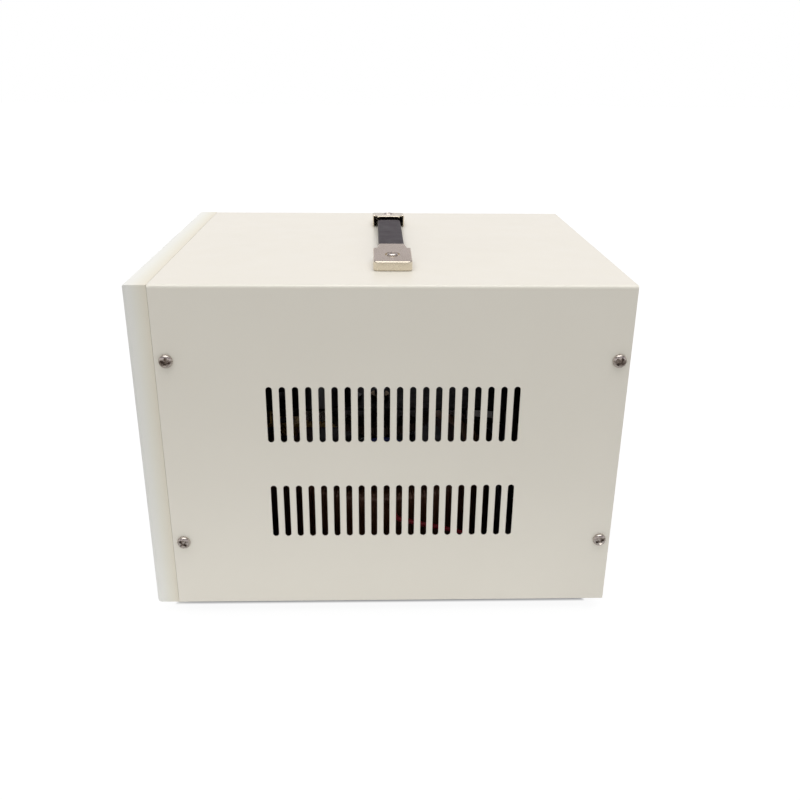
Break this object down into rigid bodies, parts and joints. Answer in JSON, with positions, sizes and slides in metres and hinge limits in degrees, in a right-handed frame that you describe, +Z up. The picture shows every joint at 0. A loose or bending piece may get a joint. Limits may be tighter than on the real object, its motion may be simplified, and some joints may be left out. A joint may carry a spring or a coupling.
{
  "type": "voltage stabilizer",
  "caption": "Servo voltage stabilizer in a slotted sheet-metal case with a moulded front, voltmeters, a strap handle, and rear outlets and terminals.",
  "frame": {"origin": "middle of the whole object on the plane that its rubber feet stand on", "axes": "+Z up, the front with its voltmeters faces -Y, +X is the viewer's right from in front and the side that the picture shows"},
  "size_m": [0.2452, 0.3176, 0.2222],
  "materials": {
    "case_paint": "satin",
    "bezel_plastic": "satin",
    "zinc_steel": "satin",
    "black_steel": "satin",
    "nickel": "polished",
    "foot_rubber": "matte",
    "cap_chrome": "polished",
    "grip_vinyl": "satin",
    "spring_steel": "satin",
    "black_plastic": "satin",
    "dial_white": "matte",
    "needle_red": "satin",
    "clear_window": "gloss",
    "lens_green": "gloss",
    "lens_yellow": "gloss",
    "lens_red": "gloss",
    "button_red": "gloss",
    "breaker_white": "satin",
    "terminal_brass": "polished",
    "clear_flap": "gloss",
    "core_steel": "satin",
    "enamelled_copper": "varnished",
    "pad_board": "matte",
    "disc_moulding": "matte",
    "bush_brass": "satin",
    "shaft_steel": "ground",
    "arm_brass": "satin",
    "carbon": "matte",
    "gear_nylon": "matte",
    "motor_steel": "satin",
    "gear_steel": "satin",
    "board_green": "semi-gloss",
    "component_blue": "satin",
    "wire_red": "satin",
    "wire_blue": "satin"
  },
  "bodies": {
    "case": {"cover": "case_paint", "front_bezel": "bezel_plastic", "base_pan": "zinc_steel", "front_frame": "zinc_steel", "rear_panel": "case_paint", "cover_screws": "nickel", "clinch_nuts": "zinc_steel", "bezel_screws": "zinc_steel", "rubber_feet": "foot_rubber", "base_screws": "zinc_steel", "m4_nuts": "zinc_steel", "m5_nuts": "zinc_steel", "handle_cap_right": "cap_chrome", "handle_cap_left": "cap_chrome", "handle_core": "spring_steel", "handle_screws": "nickel", "meter_case_input": "black_plastic", "meter_case_output": "black_plastic", "meter_dial_input": "dial_white", "meter_dial_output": "dial_white", "meter_window_input": "clear_window", "meter_window_output": "clear_window", "lamp_green": "lens_green", "lamp_yellow": "lens_yellow", "lamp_red": "lens_red", "lamp_nuts": "black_plastic", "delay_switch": "black_plastic", "breaker_body": "breaker_white", "terminal_block": "black_plastic", "terminal_screws": "terminal_brass", "outlet_left": "black_plastic", "outlet_right": "black_plastic", "earth_stud": "terminal_brass", "toroid_core": "core_steel", "toroid_winding": "enamelled_copper", "toroid_pad": "pad_board", "clamp_disc": "disc_moulding", "clamp_bolts": "zinc_steel", "bearing_bushes": "bush_brass", "motor_bridge": "black_steel", "servo_motor": "motor_steel", "limit_switches": "black_plastic", "control_board": "board_green", "board_parts": "component_blue", "wire_red": "wire_red", "wire_blue": "wire_blue"},
    "handle": {"handle_grip": "grip_vinyl"},
    "breaker_lever": {"breaker_lever": "black_plastic"},
    "delay_button": {"delay_button": "button_red"},
    "needle_input": {"meter_needle_input": "needle_red"},
    "needle_output": {"meter_needle_output": "needle_red"},
    "regulator_arm": {"arm_shaft": "shaft_steel", "brush_arm": "arm_brass", "drive_gear": "gear_nylon"},
    "brush": {"carbon_brush": "carbon"},
    "pinion": {"motor_pinion": "gear_steel"},
    "lever_low": {"limit_lever_low": "spring_steel"},
    "lever_high": {"limit_lever_high": "spring_steel"},
    "terminal_flap": {"terminal_cover": "clear_flap"}
  },
  "joints": [
    {"name": "handle_lift", "type": "slide", "parent": "case", "child": "handle", "axis": [0, 0, 1], "range_m": [0, 0.024], "stiffness_N_per_m": 200, "deforming": ["handle_core"]},
    {"name": "breaker_toggle", "type": "hinge", "parent": "case", "child": "breaker_lever", "pos_m": [0.0564, -0.1448, 0.0613], "axis": [-1, 0, 0], "range_deg": [0, 72]},
    {"name": "delay_press", "type": "slide", "parent": "case", "child": "delay_button", "axis": [0, 1, 0], "range_m": [0, 0.003], "stiffness_N_per_m": 400},
    {"name": "needle_input_turn", "type": "hinge", "parent": "case", "child": "needle_input", "pos_m": [-0.05196, -0.1373, 0.1407], "axis": [0, 1, 0], "range_deg": [0, 90], "stiffness_Nm_per_rad": 0.00002},
    {"name": "needle_output_turn", "type": "hinge", "parent": "case", "child": "needle_output", "pos_m": [0.05196, -0.1373, 0.1407], "axis": [0, 1, 0], "range_deg": [0, 90], "stiffness_Nm_per_rad": 0.00002},
    {"name": "arm_turn", "type": "hinge", "parent": "case", "child": "regulator_arm", "pos_m": [0, -0.0023, 0.08], "axis": [0, 0, 1], "range_deg": [-165, 165]},
    {"name": "brush_slide", "type": "slide", "parent": "regulator_arm", "child": "brush", "axis": [0, 0, 1], "range_m": [0, 0.002], "stiffness_N_per_m": 300},
    {"name": "pinion_turn", "type": "hinge", "parent": "case", "child": "pinion", "pos_m": [0, -0.0473, 0.088], "axis": [0, 0, 1], "range_deg": [-670, 670]},
    {"name": "limit_low_press", "type": "hinge", "parent": "case", "child": "lever_low", "pos_m": [-0.01459, 0.06001, 0.094], "axis": [0, 0, -1], "range_deg": [0, 6], "stiffness_Nm_per_rad": 0.002},
    {"name": "limit_high_press", "type": "hinge", "parent": "case", "child": "lever_high", "pos_m": [0.01459, 0.06001, 0.094], "axis": [0, 0, 1], "range_deg": [0, 6], "stiffness_Nm_per_rad": 0.002},
    {"name": "flap_open", "type": "hinge", "parent": "case", "child": "terminal_flap", "pos_m": [0, 0.1534, 0.06638], "axis": [1, 0, 0], "range_deg": [0, 110]}
  ],
  "couplings": [
    {"joint": "pinion_turn", "follows": "arm_turn", "ratio": -4}
  ]
}
